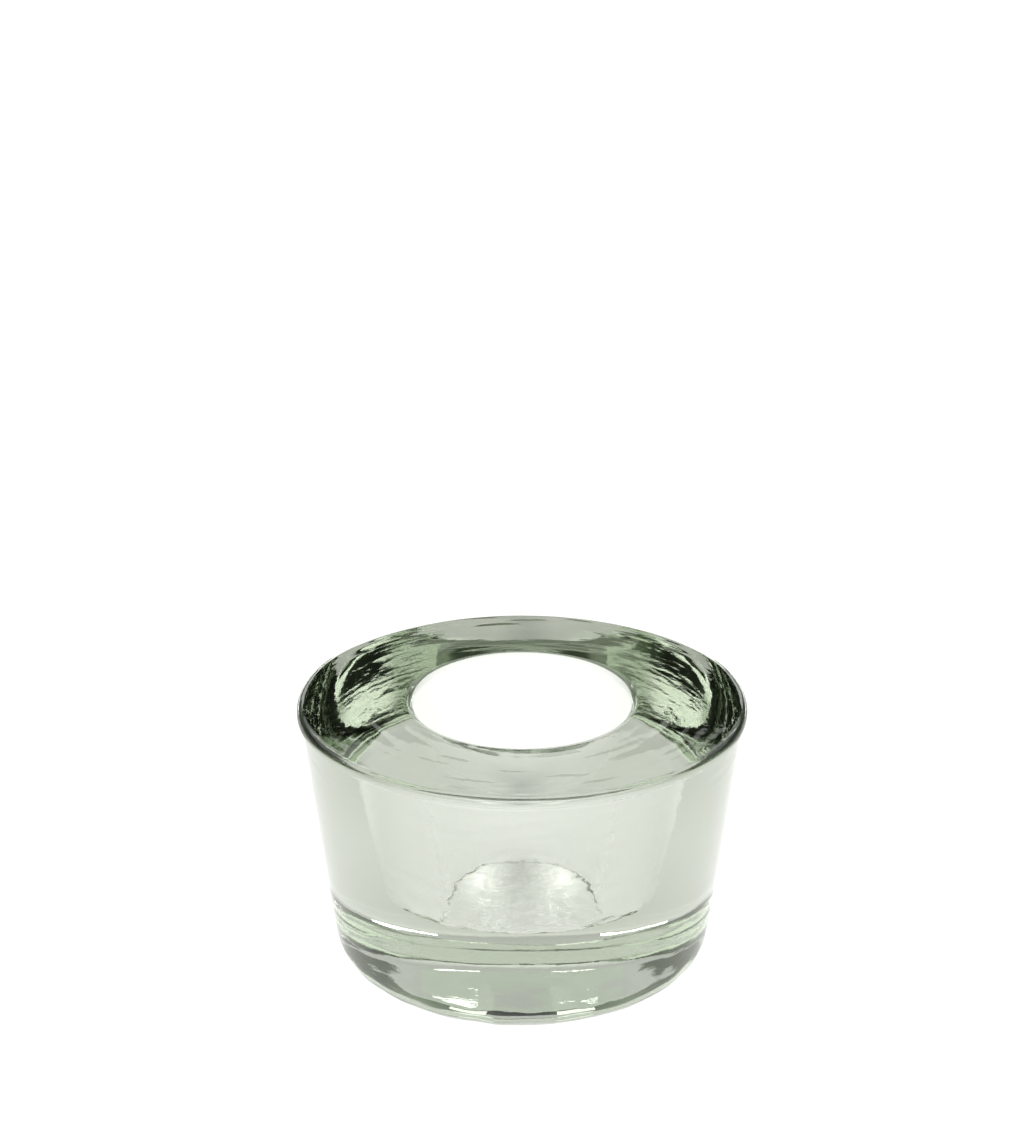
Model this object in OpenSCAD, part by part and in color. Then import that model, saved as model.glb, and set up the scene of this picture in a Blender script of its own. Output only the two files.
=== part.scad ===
// Tealight holder: one thick piece of pressed glass, a tapered round block
// with a tapered socket pressed into its top. All lengths are millimetres.
// The frame's origin is the centre of the bottom face, and +Z is up.

/* [Outside] */
// Diameter across the rim, the widest place
rim_d = 90; // [80:0.5:110]
// Overall height
height = 55.5; // [45:0.5:75]
// Diameter that the sloping wall would reach at the bottom plane
foot_d = 74.6; // [66:0.2:78]
// Radius of the rounded corner between the wall and the bottom
foot_corner_r = 7.5; // [2:0.5:9]

/* [Rim] */
// Height of the band that runs round the outer edge of the rim
rim_band_h = 2; // [1.6:0.1:4]
// How far the band stands out from the wall's slope
rim_step = 0.4; // [0.2:0.1:1]
// Radius of the rounded outer edge of the rim
rim_edge_r = 1.3; // [0.5:0.1:1.5]
// Radius of the rounded edge at the socket's mouth
mouth_edge_r = 1.8; // [0.6:0.1:3]

/* [Socket] */
// Diameter that the socket's slope reaches at the top face
mouth_d = 43.6; // [41:0.2:48]
// Diameter that the socket's slope reaches at its floor
floor_d = 32.6; // [28:0.2:38]
// Thickness of the glass under the socket
floor_z = 17.5; // [10:0.5:24]
// Radius of the corner between the socket's slope and its floor
floor_corner_r = 2; // [0.5:0.5:5]

/* [Hidden] */
$fn = 128;

rim_r = rim_d / 2;
// Radius of the wall's slope where it would meet the top face
wall_top_r = rim_r - rim_step;
// How much the wall's radius grows for each millimetre of height
wall_slope = (wall_top_r - foot_d / 2) / height;
// Level where the band's lower chamfer starts from the wall
band_foot_z = height - rim_band_h - rim_step;

// Corners of the half section before rounding, as [radius, height]
bottom_centre = [0, 0];
foot_corner = [foot_d / 2, 0];
wall_end = [foot_d / 2 + wall_slope * band_foot_z, band_foot_z];
band_start = [rim_r, height - rim_band_h];
rim_corner = [rim_r, height];
mouth_corner = [mouth_d / 2, height];
floor_corner = [floor_d / 2, floor_z];
floor_centre = [0, floor_z];
top_centre = [0, height];

// Direction of a vector
function unit(v) = v / norm(v);
// Angle at corner p between its neighbours a and b
function corner_angle(a, p, b) = acos(unit(a - p) * unit(b - p));
// Where a rounding of radius r at p starts, on the side towards a
function tangent_point(a, p, b, r) = p + unit(a - p) * r / tan(corner_angle(a, p, b) / 2);
// Centre of a rounding of radius r at p
function round_centre(a, p, b, r) =
    p + unit(unit(a - p) + unit(b - p)) * r / sin(corner_angle(a, p, b) / 2);
// The two ends of that rounding, which cut the corner off along its chord
function chord(a, p, b, r) = [tangent_point(a, p, b, r), tangent_point(b, p, a, r)];

// The disc whose edge rounds off corner p
module corner_disc(a, p, b, r) {
    translate(round_centre(a, p, b, r)) circle(r = r);
}

// Half section of the block, without the socket
module block_section() {
    polygon(concat(
        [bottom_centre],
        chord(bottom_centre, foot_corner, wall_end, foot_corner_r),
        [wall_end, band_start],
        chord(band_start, rim_corner, top_centre, rim_edge_r),
        [top_centre]
    ));
    corner_disc(bottom_centre, foot_corner, wall_end, foot_corner_r);
    corner_disc(band_start, rim_corner, top_centre, rim_edge_r);
}

// Half section of the hollow, opened out to the chord of its rounded mouth
module socket_section() {
    polygon(concat(
        [floor_centre],
        chord(floor_centre, floor_corner, mouth_corner, floor_corner_r),
        chord(floor_corner, mouth_corner, rim_corner, mouth_edge_r),
        [top_centre]
    ));
    corner_disc(floor_centre, floor_corner, mouth_corner, floor_corner_r);
}

// The pressed glass body, a solid of revolution about +Z
module glass_body() {
    color([0.80, 0.88, 0.80, 0.45])
        rotate_extrude() {
            difference() {
                block_section();
                socket_section();
            }
            corner_disc(floor_corner, mouth_corner, rim_corner, mouth_edge_r);
        }
}

glass_body();
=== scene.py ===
"""Looks of the tealight holder: one block of thick, pressed, pale green glass.

The visual glass is a closed mesh turned about +Z from the same half section as the
CAD body, with ripples in every surface. It stands in a white light tent with bright
windows, a dark opening round the camera, and a skirt that is dark at the back and the
front and bright at the sides. The camera looks along +Y. The glass form and the floor
patches are in mm, and the rest in metres.
"""

import math

import bpy
import numpy as np
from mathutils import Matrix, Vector


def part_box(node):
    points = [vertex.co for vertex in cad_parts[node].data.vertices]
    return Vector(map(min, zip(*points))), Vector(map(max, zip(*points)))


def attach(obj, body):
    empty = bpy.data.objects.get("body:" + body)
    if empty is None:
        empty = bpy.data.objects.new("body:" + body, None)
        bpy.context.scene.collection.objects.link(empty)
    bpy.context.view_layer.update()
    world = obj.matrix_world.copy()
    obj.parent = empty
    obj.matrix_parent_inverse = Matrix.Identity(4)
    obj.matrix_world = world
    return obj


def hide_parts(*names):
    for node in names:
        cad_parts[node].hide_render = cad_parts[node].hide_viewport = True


MM = 0.001

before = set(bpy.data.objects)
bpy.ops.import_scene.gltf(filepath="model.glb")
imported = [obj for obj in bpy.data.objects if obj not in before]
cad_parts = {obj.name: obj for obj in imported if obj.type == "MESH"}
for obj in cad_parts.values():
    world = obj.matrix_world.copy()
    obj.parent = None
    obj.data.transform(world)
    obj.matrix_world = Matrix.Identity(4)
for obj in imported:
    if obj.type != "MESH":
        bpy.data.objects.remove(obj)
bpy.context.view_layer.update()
low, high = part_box("glass_body")

# ---------------------------------------------------------------- glass form, in mm
RIM_R = (high.x - low.x) / 2 / MM
HEIGHT = high.z / MM
FOOT_R = 37.3            # where the wall's slope reaches the bottom plane
FOOT_ROUND = 7.5
RIM_STEP = 0.4           # how far the rim's band stands out from the wall
RIM_BAND = 2.0
RIM_ROUND = 1.3
MOUTH_R = 21.8
MOUTH_ROUND = 1.8
FLOOR_R = 16.3           # where the socket's slope reaches its floor
FLOOR_Z = 17.5
FLOOR_ROUND = 2.0
SEGMENTS = 256
ARC_STEP = 0.4           # spacing of the points on the roundings

# Ripples in each surface: (seed, wavelength across, wavelength upwards, height of the waves)
WALL_FLOW = (39, 28.0, 45.0, 0.030)
WALL_RIPPLE = (404, 25.0, 2.5, 0.003)
FOOT_RIPPLE = (491, 9.0, 6.0, 0.045)
TOP_RIPPLE = (98, 15.0, 15.0, 0.006)
TOP_STREAKS = (51, 16.0, 3.0, 0.005)   # they run round the mouth: the second length is across them
SOCKET_RIPPLE = (11, 9.0, 4.0, 0.008)
FLOOR_RIPPLE = (13, 2.6, 2.6, 0.045)
CORNER_RIPPLE = (19, 4.5, 4.5, 0.16)
BOTTOM_FLOW = (23, 18.0, 18.0, 0.004)
BAND_RIPPLE = (29, 14.0, 1.8, 0.012)
BAND_RIPPLE_Z = (42.0, 50.0)   # where it starts in the wall, and where it is full
FOOT_RIPPLE_Z = (6.0, 14.0)    # where the foot's ripple starts to fade, and where it ends
# Shallow hollows in the foot's corner: (degrees round from +X, half width in degrees, depth)
FOOT_DENTS = [(150.0, 50.0, 0.25), (40.0, 40.0, 0.25)]
WAVES = 48               # plane waves in each field of ripples

# ---------------------------------------------------------------- glass material
GLASS_IOR = 1.52
ABSORPTION_COLOR = (0.890, 0.900, 0.880, 1.0)
ABSORPTION_DENSITY = 100.0  # per metre
HAMMER_SCALE = 420.0       # fine hammered texture, per metre
HAMMER_FLATTEN = 2.2       # how much shorter its grains are upwards than across
HAMMER_DETAIL = 3.0
HAMMER_ROUGHNESS = 0.55
HAMMER_DEPTH = 0.000006

# ---------------------------------------------------------------- light tent
CANOPY_SIDES = 0.97       # brightness of the tent just above its skirt
CANOPY_TOP = 2.05         # and overhead
CANOPY_FRONT = 3.50       # how much brighter it is on the camera's side
CANOPY_RISE = (0.6, 0.8)   # sine of the elevation where the sides end, and where the top starts
CANOPY_NEAR = (-0.45, -0.85)   # the same towards the camera, along Y
FLOOR_GLOW = 1.05
FLOOR_WHITE = 0.15
FLOOR_REACH = 30.0
FLOOR_DROP = 0.0002       # the air between the block and the floor
GLOW_COLOR = (1.0, 1.0, 0.985, 1.0)
# Soft patches of painted light and painted shade in the floor's glow, for the light and shade that the
# block throws on the floor:
# (x, y, radius across, radius along in mm, extra glow)
PAINTED_FLOOR_LIGHT_AND_SHADE = [(-12.0, 19.0, 9.0, 14.0, 0.9), (12.0, 19.0, 9.0, 14.0, 0.9),
                 (0.0, 26.0, 9.0, 36.0, -0.42), (0.0, -27.0, 28.0, 10.0, -0.38),
                 (0.0, 112.0, 110.0, 70.0, 0.3)]
# Cloths of the tent, the same to both sides and dark for the most part:
# (degrees round from the back, elevations of its lower and upper edge, brightness)
CLOTHS = {
    "tent_skirt": [(0, 22.3, 27, 0.03), (5, 22.3, 27, 0.03), (18, 16, 27, 0.30), (25, 16, 27, 0.45),
                   (32, 4, 28.3, 0.30), (38, 4, 29.7, 0.20), (52, 4, 29.7, 0.20), (60, 4, 31, 0.20),
                   (68, 4, 28, 0.25), (76, 0, 26, 1.4), (98, 0, 25, 1.5), (112, 0, 25, 1.0),
                   (125, 0, 25.5, 0.6), (137, 0, 25.5, 0.22), (152, 0, 25.5, 0.05), (180, 0, 25.5, 0.03)],
    "camera_opening": [(160, 33, 48, 0.5), (166, 31, 50, 0.08), (180, 31, 50, 0.05)],
}
CLOTH_COLOR = (0.82, 1.0, 0.70)
CLOTH_DISTANCE = 2.0
CLOTH_STEP = 3            # degrees
# Bright windows: (name, degrees round from the back, elevation, width, height in degrees, brightness)
LAMPS = [("back_strip_left", -24, 3.0, 20, 4.0, 6.0), ("back_strip_right", 26, 3.0, 20, 4.0, 6.0),
         ("back_window_left", -12, 22.5, 9, 7.0, 2.6), ("back_window_right", 12, 22.5, 9, 7.0, 2.6),
         ("upper_strip_left", -12, 30.9, 12, 1.2, 5.5), ("upper_strip_right", 16, 30.7, 12, 1.0, 5.5),
         ("back_glow_left", -12.5, 28.2, 25, 2.6, 1.08), ("back_glow_right", 12.5, 28.2, 25, 2.6, 1.08),
         ("side_window_left", -112, 33.0, 50, 16.0, 2.7), ("side_window_right", 112, 33.0, 50, 16.0, 2.7)]
LAMP_COLOR = (0.94, 1.0, 0.92, 1.0)
LAMP_DISTANCE = 1.8

# ---------------------------------------------------------------- camera
CAMERA_ELEVATION = 24.63
CAMERA_DISTANCE = 0.650   # from the centre of the top face
CAMERA_SIDE = -0.0011
AIM_HEIGHT = 0.0840
LENS = 103.6
BOUNCES = 24              # light turns many times inside the block


def rounded_outline(corners):
    """Points along the half section through (radius, height, rounding, step) corners.

    Each corner is rounded by an arc, and step is the spacing of the points on the
    straight stretch that follows it.
    """
    def unit(v):
        return v / np.linalg.norm(v)

    pieces = []
    last = np.array(corners[0][:2], float)
    step = corners[0][3]
    for before, corner, after in zip(corners, corners[1:], corners[2:] + [None]):
        p = np.array(corner[:2], float)
        if after is None or corner[2] == 0:
            start, arc = p, [p]
        else:
            a = unit(np.array(before[:2]) - p)
            b = unit(np.array(after[:2]) - p)
            half = math.acos(float(np.clip(a @ b, -1, 1))) / 2
            radius = corner[2]
            centre = p + unit(a + b) * radius / math.sin(half)
            start = p + a * radius / math.tan(half)
            end = p + b * radius / math.tan(half)
            t0 = math.atan2(*(start - centre)[::-1])
            t1 = math.atan2(*(end - centre)[::-1])
            turn = (t1 - t0 + math.pi) % math.tau - math.pi
            count = max(6, round(abs(turn) * radius / ARC_STEP))
            arc = [centre + radius * np.array([math.cos(t0 + turn * k / count),
                                               math.sin(t0 + turn * k / count)])
                   for k in range(count + 1)]
        count = max(1, round(float(np.linalg.norm(start - last)) / step))
        pieces += [last + (start - last) * k / count for k in range(count)]
        pieces += arc[:-1]
        last, step = arc[-1], corner[3]
    pieces.append(last)
    return np.array(pieces)


def glass_outline():
    """The half section, from the middle of the bottom round to the middle of the socket's floor."""
    wall_top = RIM_R - RIM_STEP
    band_foot = HEIGHT - RIM_BAND - RIM_STEP
    wall_end = FOOT_R + (wall_top - FOOT_R) * band_foot / HEIGHT
    return rounded_outline([
        (0.0, 0.0, 0, 2.5),
        (FOOT_R, 0.0, FOOT_ROUND, 0.42),
        (wall_end, band_foot, 0.5, 0.2),
        (RIM_R, HEIGHT - RIM_BAND, 0.5, 0.3),
        (RIM_R, HEIGHT, RIM_ROUND, 0.55),
        (MOUTH_R, HEIGHT, MOUTH_ROUND, 0.42),
        (FLOOR_R, FLOOR_Z, FLOOR_ROUND, 0.45),
        (0.0, FLOOR_Z, 0, 1.0),
    ])


def wave_field(points, seed, across, upward, height):
    """A smooth random height at each point, made of plane waves of about these lengths."""
    rng = np.random.default_rng(seed)
    total = np.zeros(len(points))
    for _ in range(WAVES):
        heading = rng.uniform(0, math.tau)
        tilt = rng.uniform(0.15, 1.0)
        stretch = rng.uniform(0.7, 1.6)
        k = np.array([math.cos(heading) * math.sqrt(1 - tilt * tilt) / across,
                      math.sin(heading) * math.sqrt(1 - tilt * tilt) / across,
                      tilt * rng.choice([-1, 1]) / upward]) * math.tau * stretch
        total += np.cos(points @ k + rng.uniform(0, math.tau)) / stretch
    return total * height * math.sqrt(2 / WAVES)


def ramp(x, start, end):
    """0 before start, 1 after end, and a smooth climb between."""
    t = np.clip((x - start) / (end - start), 0, 1)
    return t * t * (3 - 2 * t)


def glass_mesh(name):
    outline = glass_outline()
    tangent = np.gradient(outline, axis=0)
    tangent /= np.linalg.norm(tangent, axis=1)[:, None]
    outward = np.stack([tangent[:, 1], -tangent[:, 0]], 1)
    rings = outline[1:-1]
    angles = np.arange(SEGMENTS) * math.tau / SEGMENTS
    spin = np.stack([np.cos(angles), np.sin(angles)], 1)

    def turn(section):
        """Turn [radius, height] rows about +Z into points, ring after ring."""
        around = section[:, None, :1] * spin[None]
        up = np.broadcast_to(section[:, None, 1:], (len(section), SEGMENTS, 1))
        return np.concatenate([around, up], 2).reshape(-1, 3)

    points = turn(rings)
    normals = turn(outward[1:-1])
    r = np.repeat(rings[:, 0], SEGMENTS)
    z = np.repeat(rings[:, 1], SEGMENTS)
    n_r = np.repeat(outward[1:-1, 0], SEGMENTS)
    n_z = np.repeat(outward[1:-1, 1], SEGMENTS)

    # How far each point belongs to each surface, by the way that the section faces there
    upper = z > HEIGHT / 2
    wall = ramp(n_r, 0.5, 0.9)
    top = ramp(n_z, 0.5, 0.95) * upper
    socket = ramp(-n_r, 0.5, 0.9)
    floor = ramp(n_z, 0.5, 0.95) * ~upper
    corner = ramp(n_z, 0.05, 0.4) * (1 - ramp(n_z, 0.85, 1.0)) * ~upper
    foot = ramp(-n_z, 0.02, 0.3) * (1 - ramp(-n_z, 0.8, 0.98)) * (1 - ramp(z, *FOOT_RIPPLE_Z))
    bottom = ramp(-n_z, 0.9, 1.0)
    lift = wall * (wave_field(points, *WALL_FLOW) + wave_field(points, *WALL_RIPPLE))
    lift += foot * wave_field(points, *FOOT_RIPPLE)
    around = np.degrees(np.arctan2(points[:, 1], points[:, 0]))
    for middle, width, depth in FOOT_DENTS:
        away = np.abs((around - middle + 180) % 360 - 180)
        lift -= foot * depth * (1 - ramp(away, 0, width))
    lift += bottom * wave_field(points, *BOTTOM_FLOW)
    lift += wall * ramp(z, *BAND_RIPPLE_Z) * wave_field(points, *BAND_RIPPLE)
    lift += corner * wave_field(points, *CORNER_RIPPLE)
    lift += top * wave_field(points, *TOP_RIPPLE)
    lift += top * wave_field(np.column_stack([points[:, :2], r]), *TOP_STREAKS)
    lift += socket * wave_field(points, *SOCKET_RIPPLE)
    lift += floor * ramp(r, 0, 4) * wave_field(points, *FLOOR_RIPPLE)
    points = points + normals * lift[:, None]
    reach = np.hypot(points[:, 0], points[:, 1])
    squeeze = min(1.0, RIM_R / reach.max())
    points[:, :2] *= squeeze
    points[:, 2] -= points[:, 2].min()
    points[:, 2] *= HEIGHT / points[:, 2].max()

    ends = np.array([[0, 0, points[:SEGMENTS, 2].mean()], [0, 0, points[-SEGMENTS:, 2].mean()]])
    points = np.concatenate([points, ends]) * MM
    bottom_centre, floor_centre = len(points) - 2, len(points) - 1
    faces = []
    for ring in range(len(rings) - 1):
        a = ring * SEGMENTS
        b = a + SEGMENTS
        faces += [(a + k, a + (k + 1) % SEGMENTS, b + (k + 1) % SEGMENTS, b + k)
                  for k in range(SEGMENTS)]
    last = (len(rings) - 1) * SEGMENTS
    faces += [(bottom_centre, (k + 1) % SEGMENTS, k) for k in range(SEGMENTS)]
    faces += [(last + k, last + (k + 1) % SEGMENTS, floor_centre) for k in range(SEGMENTS)]
    mesh = bpy.data.meshes.new(name)
    mesh.from_pydata(points.tolist(), [], faces)
    mesh.shade_smooth()
    mesh.update()
    piece = bpy.data.objects.new(name, mesh)
    bpy.context.scene.collection.objects.link(piece)
    return piece


def glass_material():
    material = bpy.data.materials.new("pale_green_glass")
    material.use_nodes = True
    nodes, links = material.node_tree.nodes, material.node_tree.links
    shader = nodes["Principled BSDF"]
    shader.inputs["Base Color"].default_value = (1, 1, 1, 1)
    shader.inputs["Roughness"].default_value = 0.0
    shader.inputs["IOR"].default_value = GLASS_IOR
    shader.inputs["Transmission Weight"].default_value = 1.0
    place = nodes.new("ShaderNodeTexCoord")
    flatten = nodes.new("ShaderNodeMapping")
    flatten.inputs["Scale"].default_value = (1, 1, HAMMER_FLATTEN)
    hammer = nodes.new("ShaderNodeTexNoise")
    hammer.inputs["Scale"].default_value = HAMMER_SCALE
    hammer.inputs["Detail"].default_value = HAMMER_DETAIL
    hammer.inputs["Roughness"].default_value = HAMMER_ROUGHNESS
    bump = nodes.new("ShaderNodeBump")
    bump.inputs["Strength"].default_value = 1.0
    bump.inputs["Distance"].default_value = HAMMER_DEPTH
    links.new(place.outputs["Object"], flatten.inputs["Vector"])
    links.new(flatten.outputs["Vector"], hammer.inputs["Vector"])
    links.new(hammer.outputs["Fac"], bump.inputs["Height"])
    links.new(bump.outputs["Normal"], shader.inputs["Normal"])
    absorb = nodes.new("ShaderNodeVolumeAbsorption")
    absorb.inputs["Color"].default_value = ABSORPTION_COLOR
    absorb.inputs["Density"].default_value = ABSORPTION_DENSITY
    links.new(absorb.outputs["Volume"], nodes["Material Output"].inputs["Volume"])
    return material


def plain_material(name, color, glow=0.0):
    material = bpy.data.materials.new(name)
    material.use_nodes = True
    shader = material.node_tree.nodes["Principled BSDF"]
    shader.inputs["Base Color"].default_value = (*color, 1)
    shader.inputs["Roughness"].default_value = 1.0
    shader.inputs["Specular IOR Level"].default_value = 0.0
    shader.inputs["Emission Color"].default_value = (1, 1, 1, 1)
    shader.inputs["Emission Strength"].default_value = glow
    return material


def stage_mesh(name, points, faces, material):
    mesh = bpy.data.meshes.new(name)
    mesh.from_pydata(points, [], faces)
    mesh.materials.append(material)
    piece = bpy.data.objects.new(name, mesh)
    bpy.context.scene.collection.objects.link(piece)
    return piece


def graded(tree, output, start, end, low, high):
    """A smooth ramp from low to high as the output goes from start to end."""
    shade = tree.nodes.new("ShaderNodeMapRange")
    shade.interpolation_type = "SMOOTHSTEP"
    for name, value in zip(("From Min", "From Max", "To Min", "To Max"), (start, end, low, high)):
        shade.inputs[name].default_value = value
    tree.links.new(output, shade.inputs["Value"])
    return shade.outputs["Result"]


def combined(tree, operation, *values):
    """One math node over outputs and numbers."""
    node = tree.nodes.new("ShaderNodeMath")
    node.operation = operation
    for socket, value in zip(node.inputs, values):
        if isinstance(value, (int, float)):
            socket.default_value = value
        else:
            tree.links.new(value, socket)
    return node.outputs["Value"]


def add_floor():
    corners = [(x * FLOOR_REACH, y * FLOOR_REACH, -FLOOR_DROP)
               for x, y in ((-1, -1), (1, -1), (1, 1), (-1, 1))]
    material = plain_material("floor_white", (FLOOR_WHITE, FLOOR_WHITE, FLOOR_WHITE))
    tree = material.node_tree
    nodes, links = tree.nodes, tree.links
    place = nodes.new("ShaderNodeTexCoord")
    total = FLOOR_GLOW
    # Painted light and shade: each soft patch adds its extra glow to the floor's glow, or takes it away
    for x, y, across, along, extra in PAINTED_FLOOR_LIGHT_AND_SHADE:
        mapping = nodes.new("ShaderNodeMapping")
        mapping.vector_type = "TEXTURE"
        mapping.inputs["Location"].default_value = (x * MM, y * MM, -FLOOR_DROP)
        mapping.inputs["Scale"].default_value = (across * MM, along * MM, 1)
        spot = nodes.new("ShaderNodeTexGradient")
        spot.gradient_type = "QUADRATIC_SPHERE"
        links.new(place.outputs["Object"], mapping.inputs["Vector"])
        links.new(mapping.outputs["Vector"], spot.inputs["Vector"])
        total = combined(tree, "MULTIPLY_ADD", spot.outputs["Fac"], extra, total)
    nodes["Principled BSDF"].inputs["Emission Color"].default_value = GLOW_COLOR
    links.new(total, nodes["Principled BSDF"].inputs["Emission Strength"])
    stage_mesh("floor", corners, [(0, 1, 2, 3)], material)


def glow_material(name):
    """A plain emitter, and its emission node."""
    material = bpy.data.materials.new(name)
    material.use_nodes = True
    nodes, links = material.node_tree.nodes, material.node_tree.links
    emission = nodes.new("ShaderNodeEmission")
    links.new(emission.outputs["Emission"], nodes["Material Output"].inputs["Surface"])
    return material, emission


def add_lamp(name, from_back, elevation, width, height, brightness):
    """A bright window of the tent, which only the glass shows."""
    material, emission = glow_material(name)
    emission.inputs["Color"].default_value = LAMP_COLOR
    emission.inputs["Strength"].default_value = brightness
    points = []
    for side, rise in ((-1, -1), (1, -1), (1, 1), (-1, 1)):
        turn = math.radians(from_back + side * width / 2)
        tilt = math.radians(elevation + rise * height / 2)
        points.append((LAMP_DISTANCE * math.sin(turn) * math.cos(tilt),
                       LAMP_DISTANCE * math.cos(turn) * math.cos(tilt),
                       LAMP_DISTANCE * math.sin(tilt)))
    lamp = stage_mesh(name, points, [(0, 1, 2, 3)], material)
    lamp.visible_camera = False
    lamp.visible_diffuse = False


def add_cloth(name, rows):
    """A strip of cloth round part of the tent, which only the glass shows."""
    rows = np.array(rows).T
    steps = round((rows[0, -1] - rows[0, 0]) / CLOTH_STEP)
    turns = np.linspace(rows[0, 0], rows[0, -1], steps + 1)
    turns = np.concatenate([-turns[::-1], turns])
    points, shades = [], []
    for degrees in turns:
        lower, upper, shade = (float(np.interp(abs(degrees), rows[0], row)) for row in rows[1:])
        x, y = (CLOTH_DISTANCE * f(math.radians(degrees)) for f in (math.sin, math.cos))
        points += [(x, y, CLOTH_DISTANCE * math.tan(math.radians(edge))) for edge in (lower, upper)]
        shades += [shade] * 2
    faces = [(2 * k, 2 * k + 2, 2 * k + 3, 2 * k + 1) for k in range(len(turns) - 1) if k != steps]
    material, emission = glow_material(name)
    nodes, links = material.node_tree.nodes, material.node_tree.links
    emission.inputs["Color"].default_value = (*CLOTH_COLOR, 1)
    shade = nodes.new("ShaderNodeAttribute")
    shade.attribute_name = "shade"
    links.new(shade.outputs["Fac"], emission.inputs["Strength"])
    cloth = stage_mesh(name, points, faces, material)
    cloth.data.attributes.new("shade", "FLOAT", "POINT").data.foreach_set("value", shades)
    cloth.visible_camera = False
    cloth.visible_diffuse = False


def add_light():
    world = bpy.data.worlds.new("light_tent")
    world.use_nodes = True
    tree = world.node_tree
    nodes, links = tree.nodes, tree.links
    heading = nodes.new("ShaderNodeTexCoord")
    split = nodes.new("ShaderNodeSeparateXYZ")
    links.new(heading.outputs["Generated"], split.inputs["Vector"])
    canopy = graded(tree, split.outputs["Z"], *CANOPY_RISE, CANOPY_SIDES, CANOPY_TOP)
    front = graded(tree, split.outputs["Y"], *CANOPY_NEAR, 0.0, CANOPY_FRONT)
    links.new(combined(tree, "ADD", canopy, front), nodes["Background"].inputs["Strength"])
    nodes["Background"].inputs["Color"].default_value = (1, 1, 1, 1)
    bpy.context.scene.world = world


def add_camera():
    elevation = math.radians(CAMERA_ELEVATION)
    camera = bpy.data.objects.new("camera", bpy.data.cameras.new("camera"))
    bpy.context.scene.collection.objects.link(camera)
    camera.location = (CAMERA_SIDE, -CAMERA_DISTANCE * math.cos(elevation),
                       HEIGHT * MM + CAMERA_DISTANCE * math.sin(elevation))
    look = Vector((CAMERA_SIDE, 0, AIM_HEIGHT)) - camera.location
    camera.rotation_euler = look.to_track_quat("-Z", "Y").to_euler()
    camera.data.lens = LENS
    camera.data.clip_start = 0.01
    bpy.context.scene.camera = camera


glass = glass_mesh("pressed_glass")
glass.data.materials.append(glass_material())
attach(glass, "root")
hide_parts("glass_body")

add_floor()
for cloth in CLOTHS.items():
    add_cloth(*cloth)
for lamp in LAMPS:
    add_lamp(*lamp)
add_light()
add_camera()

scene = bpy.context.scene
scene.view_settings.view_transform = "Standard"
scene.cycles.max_bounces = BOUNCES
scene.cycles.transmission_bounces = BOUNCES
scene.cycles.glossy_bounces = BOUNCES
